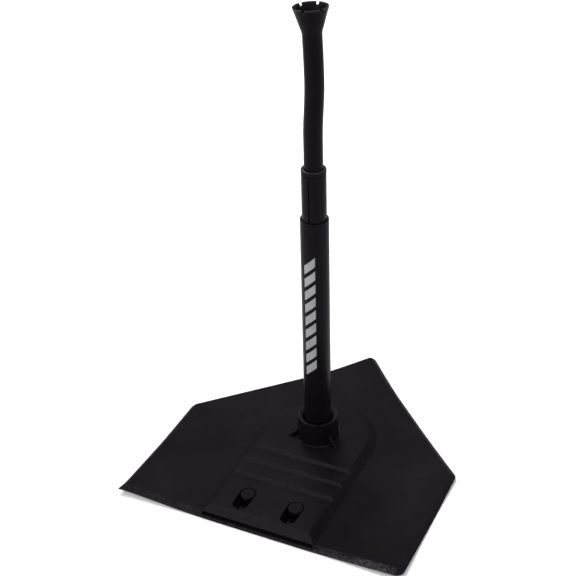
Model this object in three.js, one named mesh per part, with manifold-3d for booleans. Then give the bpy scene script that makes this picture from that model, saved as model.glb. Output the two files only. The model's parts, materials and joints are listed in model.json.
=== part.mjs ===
// Batting tee: a bevelled rubber home plate, a sliding socket with its ribbed cover, and a telescoping
// mast that ends in a flexible rubber stem with a notched ball cup.
// Millimetres, +Z up. The origin is on the floor under the middle of the plate, -Y is the plate's front edge
// and +Y its rear point.
import * as THREE from "three";
import { mergeVertices } from "three/addons/utils/BufferGeometryUtils.js";
import Module from "manifold-3d";

const wasm = await Module();
wasm.setup();

// ---------- driving dimensions ----------
const CLEARANCE = 0.3; // gap between separate pieces
const CUT = 1; // how far a cutting tool runs past the face it cuts

// home plate
const PLATE_WIDTH = 432;
const PLATE_SIDE = 218.8; // length of the two straight sides; the rear edges then run in at 45 degrees
const PLATE_THICKNESS = 8;
const PLATE_LIP = 0.6; // upright edge under the bevel
const PLATE_BEVEL_RUN = 7.4;
const PLATE_TOP_CORNER = 3; // corner radius of the top face; the front left corner is left sharp
const PLATE_POINT_DEPTH = PLATE_SIDE + PLATE_WIDTH / 2; // to where the rear edges would cross
const PLATE_POINT_CUT = (Math.SQRT2 - 1) * (PLATE_TOP_CORNER + PLATE_BEVEL_RUN); // lost to the rounding
const FRONT_Y = -(PLATE_POINT_DEPTH - PLATE_POINT_CUT) / 2;

// mast and socket positions
const MAST_Y = FRONT_Y + 214.9;

// channel in the plate that the socket slides in
const CHANNEL_FLOOR = 3.6;
const CHANNEL_HALF_WIDTH = 85.5;

// ribbed cover over the socket
const COVER_FOOT_HALF_WIDTH = 86.6;
const COVER_TOP_HALF_WIDTH = 75;
const COVER_FOOT_SETBACK = 3.5; // front foot of the cover behind the plate's front edge
const COVER_TOP_HEIGHT = 18;
const COVER_LIP = 0.4;
const COVER_BOTTOM = PLATE_THICKNESS + CLEARANCE;
const COVER_BEVEL_RUN = COVER_FOOT_HALF_WIDTH - COVER_TOP_HALF_WIDTH;
const COVER_TOP_FRONT_Y = FRONT_Y + COVER_FOOT_SETBACK + COVER_BEVEL_RUN;

// finger ribs: sawteeth with a short forward-facing step and a long ramp in front of it
const RIB_COUNT = 3;
const RIB_FRONT_Y = FRONT_Y + 91.6;
const RIB_PITCH = 31.8;
const RIB_DROP = 3.8;
const RIB_FACE_RUN = 3.2;
const RIB_RAMP_RUN = RIB_PITCH - RIB_FACE_RUN;
const FIRST_RAMP_RUN = 21;

// guide pegs and the slots that travel along them
const PEG_X = 37;
const PEG_Y = FRONT_Y + 54.9;
const PEG_RADIUS = 10.5;
const PEG_TOP = 17.7;
const PEG_EDGE = 0.6;
const SLIDE_TRAVEL = 23.5;
const COVER_SLOT_RADIUS = 11.7;
const BOSS_RADIUS = 7.5; // rubber boss of the plate, under each peg
const CARRIER_SLOT_RADIUS = 7.8;

// socket carrier: flange, collar and gussets in one moulding
const CARRIER_BOTTOM = CHANNEL_FLOOR + CLEARANCE;
const CARRIER_TOP = PLATE_THICKNESS - 0.1;
const CARRIER_HALF_WIDTH = 83.5;
const CARRIER_FRONT_SETBACK = 22;
const CARRIER_SHOULDER_Y = MAST_Y - 38;
const CARRIER_ARCH_RADIUS = 60;
const COLLAR_TOP = 54.5;
const COLLAR_FOOT_RADIUS = 30.6;
const COLLAR_TOP_RADIUS = 28.6;
const COLLAR_EDGE = 0.6;
const SOCKET_FLOOR = 6;
const SOCKET_RADIUS = 20.1;
const MOUTH_RIM_RADIUS = 27.4; // the mouth runs in as a shallow cone and then as a steep one
const MOUTH_THROAT_RADIUS = 22.3;
const MOUTH_CONE_DEPTH = 2.7;
const MOUTH_DEPTH = 9;
const GUSSET_ANGLES = [90, 210, 330];
const GUSSET_THICKNESS = 3.6;
const GUSSET_REACH = 43.5;
const GUSSET_HEIGHT = 31.5;
const COVER_HOLE_RADIUS = COLLAR_FOOT_RADIUS + 1;
const COVER_NOTCH_SIDE_GAP = 0.9;

// screws
const PEG_SCREW = { headRadius: 4.75, headHeight: 1.8, shankRadius: 2.4, length: 12.2, key: 2.1 };
const PEG_SCREW_BOTTOM = 0.3;
const PEG_RECESS_RADIUS = 5.8;
const PEG_RECESS_DEPTH = 3.2;
const WASHER_RADIUS = 5.5;
const WASHER_THICKNESS = 0.9;
const WASHER_BOTTOM = PEG_SCREW_BOTTOM + PEG_SCREW.headHeight + 0.1;
const SCREW_CLEARANCE = 0.4;
const COVER_SCREW = { headRadius: 3.9, headHeight: 2.1, shankRadius: 1.9, length: 8.6, key: 1.4 };
const COVER_SCREW_PLACES = [
  [-66, FRONT_Y + 38],
  [66, FRONT_Y + 38],
  [-72, FRONT_Y + 118],
  [72, FRONT_Y + 118],
  [-46, MAST_Y + 12],
  [46, MAST_Y + 12],
];

// lower tube and its foot plug
const TUBE_RADIUS = 19.8;
const TUBE_BORE = 17.4;
const TUBE_TOP = 390;
const TUBE_EDGE = 0.8;
const FOOT_FLANGE = 3;
const FOOT_SPIGOT_RADIUS = 17;
const FOOT_SPIGOT_LENGTH = 15;
const FOOT_BOTTOM = SOCKET_FLOOR + CLEARANCE;
const TUBE_BOTTOM = FOOT_BOTTOM + FOOT_FLANGE + CLEARANCE;

// split sleeve and its cap
const SLEEVE_RADIUS = 17;
const SLEEVE_BORE = 14.7;
const SLEEVE_BOTTOM = 238;
const SLEEVE_TOP = 458.7;
const SLIT_WIDTH = 1.4;
const CAP_BOTTOM = SLEEVE_TOP + CLEARANCE;
const CAP_TOP = 466;
const CAP_RADIUS = 17.1;
const CAP_GROOVE_RADIUS = 16.4;
const CAP_BORE = 13.2;
const CAP_SKIRT_RADIUS = 14.4;
const CAP_SKIRT_LENGTH = 44;

// rubber stem
const STEM_RADIUS = 12.9;
const STEM_BORE = 8.5;
const STEM_BOTTOM = 335.3;
const FLEX_PIVOT = 580; // height at which the stem is taken to bend
const FLEX_GAP = 10.2; // from the pivot to the upper half, which clears the dome through the whole bend
const STOP_RADIUS = 14.4;
const STOP_THICKNESS = 5;
const STOP_SPIGOT_RADIUS = 8.2;
const STOP_SPIGOT_LENGTH = 20;

// flexible tip with the ball cup: lengths run along its bent centreline from the pivot
const TIP_LENGTH = 106.7;
const BEND_START = 10.2;
const BEND_LENGTH = 34.6; // bent along this much, straight beyond it
const BEND_ANGLE = THREE.MathUtils.degToRad(5.96);
const BEND_HEADING = THREE.MathUtils.degToRad(137.3);
const CUP_WALL = 3;
const CUP_PROFILE = [
  // distance below the rim, outer radius
  [36, 12.9],
  [32, 13.3],
  [24, 15.3],
  [16.5, 17.2],
  [10.5, 18.8],
  [5.5, 20.6],
  [0, 23.5],
];
const CUP_SEAT_DEPTH = 28; // where the cup's inside narrows to the stem's bore
const PETAL_COUNT = 6;
const PETAL_FIRST_NOTCH = 30; // degrees
const NOTCH_WIDTH = 4.6;
const NOTCH_DEPTH = 5;

const ROUND = 48; // segments round the large tubes
const ROUND_SMALL = 16; // segments round screws and holes

// ---------- geometry helpers ----------
function solidOf(geometry) {
  const plain = geometry.clone();
  plain.deleteAttribute("normal");
  plain.deleteAttribute("uv");
  const merged = mergeVertices(plain, 1e-4);
  return new wasm.Manifold(
    new wasm.Mesh({
      numProp: 3,
      vertProperties: new Float32Array(merged.attributes.position.array),
      triVerts: new Uint32Array(merged.index.array),
    }),
  );
}

function geometryOf(solid) {
  const mesh = solid.getMesh();
  const geometry = new THREE.BufferGeometry();
  geometry.setAttribute("position", new THREE.BufferAttribute(mesh.vertProperties, 3));
  geometry.setIndex(new THREE.BufferAttribute(mesh.triVerts, 1));
  geometry.computeVertexNormals();
  return geometry;
}

// Revolves [radius, height] points about Z. Listed anticlockwise, with the radius to the right.
function turned(profile, segments) {
  const points = profile.map(([radius, height]) => new THREE.Vector2(radius, height));
  return new THREE.LatheGeometry(points, segments).rotateX(Math.PI / 2);
}

// A hollow ring: the profile returns to its first point.
function turnedRing(profile, segments) {
  return turned([...profile, profile[0]], segments);
}

function cylinder(radius, low, high, segments) {
  return turned(
    [
      [0, low],
      [radius, low],
      [radius, high],
      [0, high],
    ],
    segments,
  );
}

function slab(shape, low, high, curveSegments = 6) {
  const options = { depth: high - low, bevelEnabled: false, curveSegments };
  return new THREE.ExtrudeGeometry(shape, options).translate(0, 0, low);
}

// A slab with a short upright lip and then a sloping edge up to its top outline.
function bevelledSlab(topShape, lip, rise, run, curveSegments) {
  const options = {
    depth: lip,
    bevelEnabled: true,
    bevelThickness: rise,
    bevelSize: run,
    bevelSegments: 1,
    curveSegments,
  };
  const both = solidOf(new THREE.ExtrudeGeometry(topShape, options));
  const height = lip + rise + CUT;
  const upper = new THREE.BoxGeometry(2 * PLATE_WIDTH, 2 * PLATE_WIDTH, height);
  return both.intersect(solidOf(upper.translate(0, 0, height / 2)));
}

// An anticlockwise outline through the corners: the last is left sharp and the others are rounded.
function roundedOutline(corners, radius) {
  const shape = new THREE.Shape();
  corners.slice(0, -1).forEach((corner, i) => {
    const back = corners.at(i - 1).clone().sub(corner).normalize();
    const ahead = corners[i + 1].clone().sub(corner).normalize();
    const inward = back.clone().add(ahead).normalize();
    const reach = radius / Math.sin(back.angleTo(ahead) / 2);
    const centre = corner.clone().addScaledVector(inward, reach);
    const start = Math.atan2(back.x, -back.y);
    const end = Math.atan2(-ahead.x, ahead.y);
    shape.absarc(centre.x, centre.y, radius, start, end, false);
  });
  shape.lineTo(corners.at(-1).x, corners.at(-1).y);
  shape.closePath();
  return shape;
}

// Moves each edge of an anticlockwise outline inwards.
function insetCorners(corners, distance) {
  return corners.map((corner, i) => {
    const inOf = (from, to) => {
      const along = to.clone().sub(from).normalize();
      return new THREE.Vector2(-along.y, along.x);
    };
    const a = inOf(corners.at(i - 1), corner);
    const b = inOf(corner, corners[(i + 1) % corners.length]);
    const both = a.clone().add(b);
    return corner.clone().addScaledVector(both, distance / (1 + a.dot(b)));
  });
}

// A straight-sided outline with a half-round rear end about the mast.
function archOutline(halfWidth, frontY) {
  const shape = new THREE.Shape();
  shape.moveTo(-halfWidth, frontY);
  shape.lineTo(halfWidth, frontY);
  shape.absarc(0, MAST_Y, halfWidth, 0, Math.PI, false);
  shape.closePath();
  return shape;
}

// A slot along Y with round ends, whose end centres are at frontY and rearY.
function slotOutline(x, frontY, rearY, radius) {
  const shape = new THREE.Shape();
  shape.absarc(x, rearY, radius, 0, Math.PI, false);
  shape.absarc(x, frontY, radius, Math.PI, 2 * Math.PI, false);
  shape.closePath();
  return shape;
}

// An outline in the plane of Y and Z, stretched from -halfLength to +halfLength along X.
function prismAlongX(outline, halfLength) {
  const shape = new THREE.Shape(outline.map(([y, z]) => new THREE.Vector2(y, z)));
  const options = { depth: 2 * halfLength, bevelEnabled: false };
  const turn = new THREE.Matrix4().makeBasis(
    new THREE.Vector3(0, 1, 0),
    new THREE.Vector3(0, 0, 1),
    new THREE.Vector3(1, 0, 0),
  );
  return new THREE.ExtrudeGeometry(shape, options).applyMatrix4(turn).translate(-halfLength, 0, 0);
}

// ---------- materials ----------
const finish = (color, roughness, metalness = 0) =>
  new THREE.MeshStandardMaterial({ color, roughness, metalness });
const plateRubber = finish(0x212022, 0.75);
const coverRubber = finish(0x222123, 0.7);
const blackPlastic = finish(0x17161a, 0.5);
const tubePlastic = finish(0x1a191b, 0.42);
const sleevePlastic = finish(0x1f1e20, 0.4);
const stemRubber = finish(0x1d1c1e, 0.6);
const steel = finish(0x9a9c9f, 0.35, 1);

function part(name, geometry, material, height = 0) {
  const mesh = new THREE.Mesh(geometry, material);
  mesh.name = name;
  mesh.position.z = height;
  return mesh;
}

// ---------- base ----------
const pegSides = [
  ["left", -1],
  ["right", 1],
];

function homePlate() {
  const half = PLATE_WIDTH / 2;
  const foot = [
    new THREE.Vector2(half, FRONT_Y),
    new THREE.Vector2(half, FRONT_Y + PLATE_SIDE),
    new THREE.Vector2(0, FRONT_Y + PLATE_POINT_DEPTH),
    new THREE.Vector2(-half, FRONT_Y + PLATE_SIDE),
    new THREE.Vector2(-half, FRONT_Y),
  ];
  const top = roundedOutline(insetCorners(foot, PLATE_BEVEL_RUN), PLATE_TOP_CORNER);
  const rise = PLATE_THICKNESS - PLATE_LIP;
  let plate = bevelledSlab(top, PLATE_LIP, rise, PLATE_BEVEL_RUN, 4);
  const channel = archOutline(CHANNEL_HALF_WIDTH, FRONT_Y - CUT);
  plate = plate.subtract(solidOf(slab(channel, CHANNEL_FLOOR, PLATE_THICKNESS + CUT, 24)));
  for (const [, side] of pegSides) {
    const boss = cylinder(BOSS_RADIUS, CHANNEL_FLOOR - CUT, PLATE_THICKNESS, 24);
    const recess = cylinder(PEG_RECESS_RADIUS, -CUT, PEG_RECESS_DEPTH, 24);
    const hole = cylinder(PEG_SCREW.shankRadius + SCREW_CLEARANCE, -CUT, PLATE_THICKNESS + CUT, ROUND_SMALL);
    plate = plate.add(solidOf(boss.translate(side * PEG_X, PEG_Y, 0)));
    plate = plate.subtract(solidOf(recess.translate(side * PEG_X, PEG_Y, 0)));
    plate = plate.subtract(solidOf(hole.translate(side * PEG_X, PEG_Y, 0)));
  }
  return geometryOf(plate);
}

// A peg stands on the plate's boss and holds the carrier down with its rim.
function guidePeg() {
  const height = PEG_TOP - COVER_BOTTOM;
  const body = turned(
    [
      [0, 0],
      [PEG_RADIUS, 0],
      [PEG_RADIUS, height - PEG_EDGE],
      [PEG_RADIUS - PEG_EDGE, height],
      [0, height],
    ],
    32,
  );
  const holeTop = height - 2.5;
  const hole = cylinder(PEG_SCREW.shankRadius + CLEARANCE, -CUT, holeTop, ROUND_SMALL);
  return geometryOf(solidOf(body).subtract(solidOf(hole)));
}

// A screw with its head down: a flat or sunk head with a hexagonal key hole, and a plain shank.
function screw({ headRadius, headHeight, shankRadius, length, key }, sunk) {
  const neck = sunk ? shankRadius : headRadius;
  const body = turned(
    [
      [0, 0],
      [headRadius, 0],
      [neck, headHeight],
      [shankRadius, headHeight + 0.01],
      [shankRadius, length - 0.8],
      [shankRadius - 0.8, length],
      [0, length],
    ],
    ROUND_SMALL,
  );
  const keyHole = cylinder(key, -CUT, headHeight * 0.6, 6);
  return geometryOf(solidOf(body).subtract(solidOf(keyHole)));
}

function washer() {
  const bore = PEG_SCREW.shankRadius + CLEARANCE;
  return turnedRing(
    [
      [bore, 0],
      [WASHER_RADIUS, 0],
      [WASHER_RADIUS, WASHER_THICKNESS],
      [bore, WASHER_THICKNESS],
    ],
    24,
  );
}

// ---------- sliding socket ----------
function socketCover() {
  const rise = COVER_TOP_HEIGHT - COVER_BOTTOM - COVER_LIP;
  const top = archOutline(COVER_TOP_HALF_WIDTH, COVER_TOP_FRONT_Y);
  let cover = bevelledSlab(top, COVER_LIP, rise, COVER_BEVEL_RUN, 32).translate([0, 0, COVER_BOTTOM]);
  for (let i = 0; i < RIB_COUNT; i++) {
    const crest = RIB_FRONT_Y + i * RIB_PITCH + RIB_FACE_RUN / 2;
    const foot = crest - RIB_FACE_RUN;
    const rampStart = foot - (i === 0 ? FIRST_RAMP_RUN : RIB_RAMP_RUN);
    const outline = [
      [rampStart, COVER_TOP_HEIGHT],
      [foot, COVER_TOP_HEIGHT - RIB_DROP],
      [crest, COVER_TOP_HEIGHT],
      [crest, COVER_TOP_HEIGHT + CUT],
      [rampStart, COVER_TOP_HEIGHT + CUT],
    ];
    cover = cover.subtract(solidOf(prismAlongX(outline, PLATE_WIDTH / 2)));
  }
  for (const [, side] of pegSides) {
    const slot = slotOutline(side * PEG_X, PEG_Y - SLIDE_TRAVEL, PEG_Y, COVER_SLOT_RADIUS);
    cover = cover.subtract(solidOf(slab(slot, 0, COVER_TOP_HEIGHT + CUT, 12)));
  }
  const collarHole = cylinder(COVER_HOLE_RADIUS, 0, COVER_TOP_HEIGHT + CUT, ROUND);
  cover = cover.subtract(solidOf(collarHole.translate(0, MAST_Y, 0)));
  for (const angle of GUSSET_ANGLES) {
    const width = GUSSET_THICKNESS + 2 * COVER_NOTCH_SIDE_GAP;
    const reach = GUSSET_REACH + COVER_NOTCH_SIDE_GAP;
    const notch = new THREE.BoxGeometry(reach, width, 2 * COVER_TOP_HEIGHT + CUT)
      .translate(reach / 2, 0, COVER_TOP_HEIGHT)
      .rotateZ(THREE.MathUtils.degToRad(angle))
      .translate(0, MAST_Y, 0);
    cover = cover.subtract(solidOf(notch));
  }
  for (const [x, y] of COVER_SCREW_PLACES) {
    const depth = CARRIER_BOTTOM + COVER_SCREW.length + SCREW_CLEARANCE;
    const pilot = cylinder(COVER_SCREW.shankRadius + CLEARANCE, 0, depth, ROUND_SMALL);
    cover = cover.subtract(solidOf(pilot.translate(x, y, 0)));
  }
  return geometryOf(cover);
}

function carrierOutline() {
  const frontY = FRONT_Y + CARRIER_FRONT_SETBACK;
  const shape = new THREE.Shape();
  shape.moveTo(-CARRIER_HALF_WIDTH, frontY);
  shape.lineTo(CARRIER_HALF_WIDTH, frontY);
  shape.lineTo(CARRIER_HALF_WIDTH, CARRIER_SHOULDER_Y);
  shape.absarc(0, MAST_Y, CARRIER_ARCH_RADIUS, 0, Math.PI, false);
  shape.lineTo(-CARRIER_HALF_WIDTH, CARRIER_SHOULDER_Y);
  shape.closePath();
  return shape;
}

function gusset(angle) {
  const inner = COLLAR_TOP_RADIUS - 3;
  const shape = new THREE.Shape([
    new THREE.Vector2(inner, CARRIER_TOP - CUT),
    new THREE.Vector2(GUSSET_REACH, CARRIER_TOP - CUT),
    new THREE.Vector2(GUSSET_REACH, COVER_TOP_HEIGHT),
    new THREE.Vector2(COLLAR_TOP_RADIUS + 0.6, GUSSET_HEIGHT),
    new THREE.Vector2(inner, GUSSET_HEIGHT),
  ]);
  const options = { depth: GUSSET_THICKNESS, bevelEnabled: false };
  return new THREE.ExtrudeGeometry(shape, options)
    .translate(0, 0, -GUSSET_THICKNESS / 2)
    .rotateX(Math.PI / 2)
    .rotateZ(THREE.MathUtils.degToRad(angle))
    .translate(0, MAST_Y, 0);
}

function socketCarrier() {
  const collar = turned(
    [
      [0, CARRIER_BOTTOM],
      [COLLAR_FOOT_RADIUS, CARRIER_BOTTOM],
      [COLLAR_FOOT_RADIUS, COVER_TOP_HEIGHT],
      [COLLAR_TOP_RADIUS, COLLAR_TOP - COLLAR_EDGE],
      [COLLAR_TOP_RADIUS - COLLAR_EDGE, COLLAR_TOP],
      [0, COLLAR_TOP],
    ],
    ROUND,
  );
  const bore = turned(
    [
      [0, SOCKET_FLOOR],
      [SOCKET_RADIUS, SOCKET_FLOOR],
      [SOCKET_RADIUS, COLLAR_TOP - MOUTH_DEPTH],
      [MOUTH_THROAT_RADIUS, COLLAR_TOP - MOUTH_CONE_DEPTH],
      [MOUTH_RIM_RADIUS, COLLAR_TOP],
      [MOUTH_RIM_RADIUS, COLLAR_TOP + CUT],
      [0, COLLAR_TOP + CUT],
    ],
    ROUND,
  );
  let carrier = solidOf(slab(carrierOutline(), CARRIER_BOTTOM, CARRIER_TOP, 24));
  carrier = carrier.add(solidOf(collar.translate(0, MAST_Y, 0)));
  for (const angle of GUSSET_ANGLES) carrier = carrier.add(solidOf(gusset(angle)));
  carrier = carrier.subtract(solidOf(bore.translate(0, MAST_Y, 0)));
  for (const [, side] of pegSides) {
    const slot = slotOutline(side * PEG_X, PEG_Y - SLIDE_TRAVEL, PEG_Y, CARRIER_SLOT_RADIUS);
    carrier = carrier.subtract(solidOf(slab(slot, 0, COVER_TOP_HEIGHT, 10)));
  }
  for (const [x, y] of COVER_SCREW_PLACES) {
    const headTop = CARRIER_BOTTOM + COVER_SCREW.headHeight + SCREW_CLEARANCE;
    const sunkHole = turned(
      [
        [0, CARRIER_BOTTOM - CUT],
        [COVER_SCREW.headRadius + SCREW_CLEARANCE + CUT, CARRIER_BOTTOM - CUT],
        [COVER_SCREW.shankRadius + CLEARANCE, headTop],
        [COVER_SCREW.shankRadius + CLEARANCE, CARRIER_TOP + CUT],
        [0, CARRIER_TOP + CUT],
      ],
      ROUND_SMALL,
    );
    carrier = carrier.subtract(solidOf(sunkHole.translate(x, y, 0)));
  }
  return geometryOf(carrier);
}

// ---------- mast ----------
function lowerTube() {
  const length = TUBE_TOP - TUBE_BOTTOM;
  return turnedRing(
    [
      [TUBE_BORE, 0],
      [TUBE_RADIUS, 0],
      [TUBE_RADIUS, length - TUBE_EDGE],
      [TUBE_RADIUS - TUBE_EDGE, length],
      [TUBE_BORE + TUBE_EDGE / 2, length],
      [TUBE_BORE, length - TUBE_EDGE / 2],
    ],
    ROUND,
  );
}

function footPlug() {
  const top = FOOT_FLANGE + FOOT_SPIGOT_LENGTH;
  return turned(
    [
      [0, 0],
      [TUBE_RADIUS - 0.6, 0],
      [TUBE_RADIUS, 0.6],
      [TUBE_RADIUS, FOOT_FLANGE],
      [FOOT_SPIGOT_RADIUS, FOOT_FLANGE],
      [FOOT_SPIGOT_RADIUS - 0.4, top],
      [0, top],
    ],
    ROUND,
  );
}

function splitSleeve() {
  const length = SLEEVE_TOP - SLEEVE_BOTTOM;
  const tube = turnedRing(
    [
      [SLEEVE_BORE, 0],
      [SLEEVE_RADIUS, 0],
      [SLEEVE_RADIUS, length],
      [SLEEVE_BORE, length],
    ],
    ROUND,
  );
  const slit = new THREE.BoxGeometry(SLIT_WIDTH, SLEEVE_RADIUS, length + 2 * CUT);
  slit.translate(0, -SLEEVE_RADIUS, length / 2);
  return geometryOf(solidOf(tube).subtract(solidOf(slit)));
}

function sleeveCap() {
  const height = CAP_TOP - CAP_BOTTOM;
  return turnedRing(
    [
      [CAP_BORE, -CAP_SKIRT_LENGTH],
      [CAP_SKIRT_RADIUS, -CAP_SKIRT_LENGTH],
      [CAP_SKIRT_RADIUS, 0],
      [CAP_RADIUS - 0.2, 0],
      [CAP_RADIUS, 0.3],
      [CAP_RADIUS, 2],
      [CAP_GROOVE_RADIUS, 2.3],
      [CAP_GROOVE_RADIUS, 3],
      [CAP_RADIUS, 3.4],
      [CAP_RADIUS, height - 1.4],
      [CAP_RADIUS - 0.5, height - 0.4],
      [CAP_RADIUS - 1.4, height],
      [CAP_BORE + 0.8, height],
      [CAP_BORE, height - 0.8],
    ],
    ROUND,
  );
}

// The lower half of the stem ends in a dome about the bending point.
function rubberStem() {
  const length = FLEX_PIVOT - STEM_BOTTOM;
  const domeEnd = Math.acos(STEM_BORE / STEM_RADIUS);
  const dome = [];
  for (let i = 0; i <= 5; i++) {
    const angle = (domeEnd * i) / 5;
    dome.push([STEM_RADIUS * Math.cos(angle), length + STEM_RADIUS * Math.sin(angle)]);
  }
  return turnedRing([[STEM_BORE, 0], [STEM_RADIUS, 0], ...dome], 32);
}

function stopPlug() {
  const top = STOP_THICKNESS + STOP_SPIGOT_LENGTH;
  return turned(
    [
      [0, 0],
      [STOP_RADIUS - 0.8, 0],
      [STOP_RADIUS, 0.8],
      [STOP_RADIUS, STOP_THICKNESS],
      [STOP_SPIGOT_RADIUS, STOP_THICKNESS],
      [STOP_SPIGOT_RADIUS - 0.4, top],
      [0, top],
    ],
    32,
  );
}

// Carries the points of an upright piece onto a centreline that bends over and then runs on straight.
function bend(geometry) {
  const position = geometry.getAttribute("position");
  const bendRadius = BEND_LENGTH / BEND_ANGLE;
  const ahead = new THREE.Vector2(Math.cos(BEND_HEADING), Math.sin(BEND_HEADING));
  for (let i = 0; i < position.count; i++) {
    const across = new THREE.Vector2(position.getX(i), position.getY(i));
    const along = position.getZ(i) - BEND_START;
    if (along <= 0) continue;
    const angle = Math.min(along / bendRadius, BEND_ANGLE);
    const beyond = Math.max(along - BEND_LENGTH, 0);
    const forward = across.dot(ahead);
    const sideways = across.clone().addScaledVector(ahead, -forward);
    const reach = bendRadius * (1 - Math.cos(angle)) + forward * Math.cos(angle) + beyond * Math.sin(angle);
    const height = BEND_START + (bendRadius - forward) * Math.sin(angle) + beyond * Math.cos(angle);
    position.setXYZ(i, sideways.x + reach * ahead.x, sideways.y + reach * ahead.y, height);
  }
  geometry.computeVertexNormals();
  return geometry;
}

function stemTip() {
  const neck = TIP_LENGTH - CUP_PROFILE[0][0];
  const outer = [];
  const inner = [];
  for (let i = 0; i < 4; i++) {
    const height = FLEX_GAP + ((neck - FLEX_GAP) * i) / 4;
    outer.push([STEM_RADIUS, height]);
    inner.push([STEM_BORE, height]);
  }
  for (const [below, radius] of CUP_PROFILE) outer.push([radius, TIP_LENGTH - below]);
  inner.push([STEM_BORE, TIP_LENGTH - CUP_SEAT_DEPTH]);
  for (const [below, radius] of CUP_PROFILE) {
    if (below < CUP_SEAT_DEPTH) inner.push([radius - CUP_WALL, TIP_LENGTH - below]);
  }
  let tip = solidOf(turnedRing([...outer, ...inner.reverse()], 36));
  const outerRadius = CUP_PROFILE.at(-1)[1];
  for (let i = 0; i < PETAL_COUNT; i++) {
    const notch = new THREE.BoxGeometry(outerRadius + CUT, NOTCH_WIDTH, 2 * NOTCH_DEPTH)
      .translate((outerRadius + CUT) / 2, 0, TIP_LENGTH)
      .rotateZ(THREE.MathUtils.degToRad(PETAL_FIRST_NOTCH + (i * 360) / PETAL_COUNT));
    tip = tip.subtract(solidOf(notch));
  }
  return bend(geometryOf(tip));
}

// ---------- assembly ----------
const base = new THREE.Group();
base.add(part("home_plate", homePlate(), plateRubber));
for (const [name, side] of pegSides) {
  const fixing = new THREE.Group();
  fixing.position.set(side * PEG_X, PEG_Y, 0);
  fixing.add(part(`guide_peg_${name}`, guidePeg(), coverRubber, COVER_BOTTOM));
  fixing.add(part(`peg_screw_${name}`, screw(PEG_SCREW, false), steel, PEG_SCREW_BOTTOM));
  fixing.add(part(`peg_washer_${name}`, washer(), steel, WASHER_BOTTOM));
  base.add(fixing);
}

const slider = new THREE.Group();
slider.add(part("socket_cover", socketCover(), coverRubber));
slider.add(part("socket_carrier", socketCarrier(), blackPlastic));
COVER_SCREW_PLACES.forEach(([x, y], i) => {
  const fastener = part(`cover_screw_${i + 1}`, screw(COVER_SCREW, true), steel, CARRIER_BOTTOM + 0.1);
  fastener.position.x = x;
  fastener.position.y = y;
  slider.add(fastener);
});

const mast = new THREE.Group();
mast.position.y = MAST_Y;
mast.add(part("lower_tube", lowerTube(), tubePlastic, TUBE_BOTTOM));
mast.add(part("tube_foot_plug", footPlug(), blackPlastic, FOOT_BOTTOM));
mast.add(part("upper_sleeve", splitSleeve(), sleevePlastic, SLEEVE_BOTTOM));
mast.add(part("sleeve_cap", sleeveCap(), sleevePlastic, CAP_BOTTOM));
mast.add(part("rubber_stem", rubberStem(), stemRubber, STEM_BOTTOM));
mast.add(part("stem_stop_plug", stopPlug(), blackPlastic, STEM_BOTTOM - STOP_THICKNESS - CLEARANCE));
mast.add(part("stem_tip", stemTip(), stemRubber, FLEX_PIVOT));

const battingTee = new THREE.Group();
battingTee.add(base, slider, mast);
export default battingTee;
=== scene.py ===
"""Batting tee: the looks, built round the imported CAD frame.

Metres, +Z up. -Y is the home plate's straight front edge and +Y its rear point.
"""
import json
import math

import bpy
from mathutils import Matrix, Vector


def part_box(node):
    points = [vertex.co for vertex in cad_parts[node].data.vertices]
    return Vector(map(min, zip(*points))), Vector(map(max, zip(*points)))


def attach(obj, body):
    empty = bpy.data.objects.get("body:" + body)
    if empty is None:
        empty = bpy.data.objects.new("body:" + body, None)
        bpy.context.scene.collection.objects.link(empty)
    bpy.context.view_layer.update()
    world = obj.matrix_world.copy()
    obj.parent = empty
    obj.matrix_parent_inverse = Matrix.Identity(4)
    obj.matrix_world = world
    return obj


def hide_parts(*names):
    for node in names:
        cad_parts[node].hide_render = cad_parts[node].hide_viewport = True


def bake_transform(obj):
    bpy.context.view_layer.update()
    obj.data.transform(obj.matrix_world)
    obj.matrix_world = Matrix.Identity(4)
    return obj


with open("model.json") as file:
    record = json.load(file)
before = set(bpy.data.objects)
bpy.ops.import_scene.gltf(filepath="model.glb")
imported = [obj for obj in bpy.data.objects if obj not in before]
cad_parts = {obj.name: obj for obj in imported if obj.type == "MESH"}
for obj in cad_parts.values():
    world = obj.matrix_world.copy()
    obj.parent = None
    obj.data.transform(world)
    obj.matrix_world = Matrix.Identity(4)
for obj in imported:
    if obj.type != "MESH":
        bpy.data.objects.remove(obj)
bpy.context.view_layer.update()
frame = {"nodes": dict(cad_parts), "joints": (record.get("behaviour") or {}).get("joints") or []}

MM = 0.001

# ---------- places, from the frame ----------
PLATE_LOW, PLATE_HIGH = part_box("home_plate")
COVER_LOW, COVER_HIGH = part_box("socket_cover")
CARRIER_LOW, CARRIER_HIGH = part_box("socket_carrier")
TUBE_LOW, TUBE_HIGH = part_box("lower_tube")
SLEEVE_LOW, SLEEVE_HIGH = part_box("upper_sleeve")
CAP_LOW, CAP_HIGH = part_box("sleeve_cap")
STEM_LOW, STEM_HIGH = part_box("rubber_stem")
MAST_X = (TUBE_LOW.x + TUBE_HIGH.x) / 2
MAST_Y = (TUBE_LOW.y + TUBE_HIGH.y) / 2
FRONT_Y = PLATE_LOW.y
PLATE_TOP = PLATE_HIGH.z
COVER_TOP = COVER_HIGH.z
FLEX_PIVOT = Vector(next(j for j in frame["joints"] if j["name"] == "stem_flex")["pos_m"])

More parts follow.
